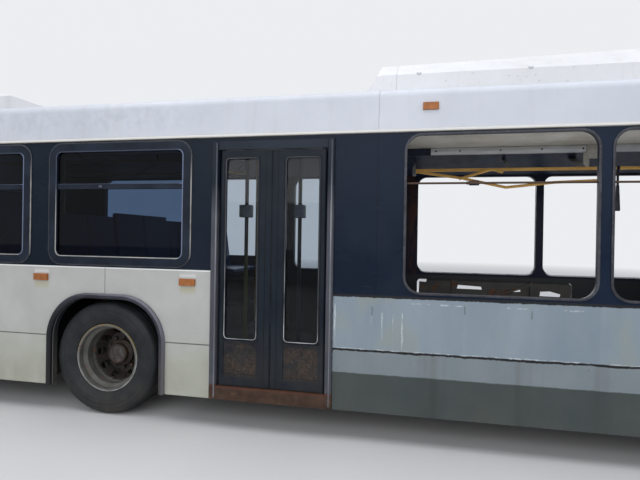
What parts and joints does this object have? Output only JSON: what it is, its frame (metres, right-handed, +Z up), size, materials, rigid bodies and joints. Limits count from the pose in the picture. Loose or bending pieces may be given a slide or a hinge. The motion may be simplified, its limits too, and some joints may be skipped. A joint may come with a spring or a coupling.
{
  "type": "city bus",
  "caption": "Worn low-floor city bus with two double-leaf doors, dual rear wheels, roof covers and missing side windows",
  "frame": {"origin": "centre of the bounding box's foot, on the ground under the middle of the bus", "axes": "+X towards the front of the bus, +Y to its left side, +Z up"},
  "size_m": [12.32, 2.98, 3.0699],
  "materials": {
    "white_panel": "aged off-white paint",
    "dark_band": "dark navy paint, scratched",
    "lower_paint": "worn paint and filler",
    "moulding": "white moulding",
    "black_frame": "black frame and seal",
    "tinted_glass": "grey tinted glass",
    "clear_glass": "clear glass",
    "post_grey": "grey posts, rusted sill",
    "leaf_dark": "charcoal, rusted kick panel",
    "black_rubber": "aged rubber",
    "tyre": "dusty black tyre",
    "rim_steel": "grey paint and rust",
    "frame_steel": "black frame, surface rust",
    "axle_iron": "rusted casting",
    "engine_iron": "oily iron",
    "floor_cover": "worn dark floor",
    "seat_moulding": "blue moulded shell",
    "cream_panel": "cream lining, stained",
    "yellow_rail": "yellow tube, chipped",
    "bare_aluminium": "dull bare metal",
    "red_lens": "red lens",
    "amber_lens": "amber lens",
    "lamp_clear": "clear lamp lens"
  },
  "bodies": {
    "bus_body": {"underframe": "frame_steel", "floor": "floor_cover", "lower_side_panels": "lower_paint", "window_bands": "dark_band", "cove_panels": "white_panel", "roof_skin": "white_panel", "front_cap": "moulding", "rear_cap": "moulding", "windscreen_panes": "clear_glass", "window_frames": "black_frame", "window_panes": "tinted_glass", "roof_pod": "moulding", "air_unit_cover": "moulding", "arch_trims": "black_rubber", "door_frames": "post_grey", "bumpers": "black_rubber", "headlamps": "lamp_clear", "tail_lamps": "red_lens", "side_markers": "amber_lens", "mirrors": "black_frame", "passenger_seats": "seat_moulding", "grab_rails": "yellow_rail", "driver_station": "leaf_dark", "ceiling_panels": "cream_panel", "engine_block": "engine_iron", "front_axle": "axle_iron", "rear_axle": "axle_iron", "air_springs": "black_rubber", "wheel_housings": "frame_steel", "cross_members": "frame_steel", "tow_eyes": "frame_steel", "side_frame": "frame_steel", "side_ducts": "black_frame", "light_rails": "bare_aluminium", "rail_hangers": "frame_steel", "drive_shaft": "axle_iron"},
    "knuckle_left": {"steering_knuckle_left": "axle_iron"},
    "knuckle_right": {"steering_knuckle_right": "axle_iron"},
    "wheel_front_left": {"front_left_tyre": "tyre", "front_left_rim": "rim_steel"},
    "wheel_front_right": {"front_right_tyre": "tyre", "front_right_rim": "rim_steel"},
    "wheels_rear_left": {"rear_left_tyres": "tyre", "rear_left_rims": "rim_steel"},
    "wheels_rear_right": {"rear_right_tyres": "tyre", "rear_right_rims": "rim_steel"},
    "door_rear_aft": {"rear_door_aft_leaf": "leaf_dark", "rear_door_aft_glass": "tinted_glass"},
    "door_rear_fore": {"rear_door_fore_leaf": "leaf_dark", "rear_door_fore_glass": "tinted_glass"},
    "door_front_aft": {"front_door_aft_leaf": "leaf_dark", "front_door_aft_glass": "tinted_glass"},
    "door_front_fore": {"front_door_fore_leaf": "leaf_dark", "front_door_fore_glass": "tinted_glass"},
    "engine_lid": {"engine_door": "moulding"},
    "hatch_lid": {"roof_hatch": "moulding"}
  },
  "joints": [
    {"name": "steer_left", "type": "hinge", "parent": "bus_body", "child": "knuckle_left", "pos_m": [3.9, 0.99, 0.495], "axis": [0, 0, 1], "range_deg": [-38, 38]},
    {"name": "steer_right", "type": "hinge", "parent": "bus_body", "child": "knuckle_right", "pos_m": [3.9, -0.99, 0.495], "axis": [0, 0, 1], "range_deg": [-38, 38]},
    {"name": "spin_front_left", "type": "hinge", "parent": "knuckle_left", "child": "wheel_front_left", "pos_m": [3.9, 1.09, 0.495], "axis": [0, 1, 0], "continuous": true},
    {"name": "spin_front_right", "type": "hinge", "parent": "knuckle_right", "child": "wheel_front_right", "pos_m": [3.9, -1.09, 0.495], "axis": [0, 1, 0], "continuous": true},
    {"name": "spin_rear_left", "type": "hinge", "parent": "bus_body", "child": "wheels_rear_left", "pos_m": [-3.19, 0.9475, 0.495], "axis": [0, 1, 0], "continuous": true},
    {"name": "spin_rear_right", "type": "hinge", "parent": "bus_body", "child": "wheels_rear_right", "pos_m": [-3.19, -0.9475, 0.495], "axis": [0, 1, 0], "continuous": true},
    {"name": "rear_door_aft_hinge", "type": "hinge", "parent": "bus_body", "child": "door_rear_aft", "pos_m": [-2.095, -1.273, 1.32], "axis": [0, 0, -1], "range_deg": [0, 90]},
    {"name": "rear_door_fore_hinge", "type": "hinge", "parent": "bus_body", "child": "door_rear_fore", "pos_m": [-1.235, -1.273, 1.32], "axis": [0, 0, 1], "range_deg": [0, 90]},
    {"name": "front_door_aft_hinge", "type": "hinge", "parent": "bus_body", "child": "door_front_aft", "pos_m": [4.645, -1.273, 1.32], "axis": [0, 0, -1], "range_deg": [0, 90]},
    {"name": "front_door_fore_hinge", "type": "hinge", "parent": "bus_body", "child": "door_front_fore", "pos_m": [5.555, -1.273, 1.32], "axis": [0, 0, 1], "range_deg": [0, 90]},
    {"name": "engine_door_hinge", "type": "hinge", "parent": "bus_body", "child": "engine_lid", "pos_m": [-6.078, 0, 1.26], "axis": [0, 1, 0], "range_deg": [0, 70]},
    {"name": "roof_hatch_hinge", "type": "hinge", "parent": "bus_body", "child": "hatch_lid", "pos_m": [-1.875, 0, 2.9073], "axis": [0, 1, 0], "range_deg": [0, 40]}
  ],
  "couplings": [
    {"joint": "steer_right", "follows": "steer_left", "ratio": 1}
  ]
}
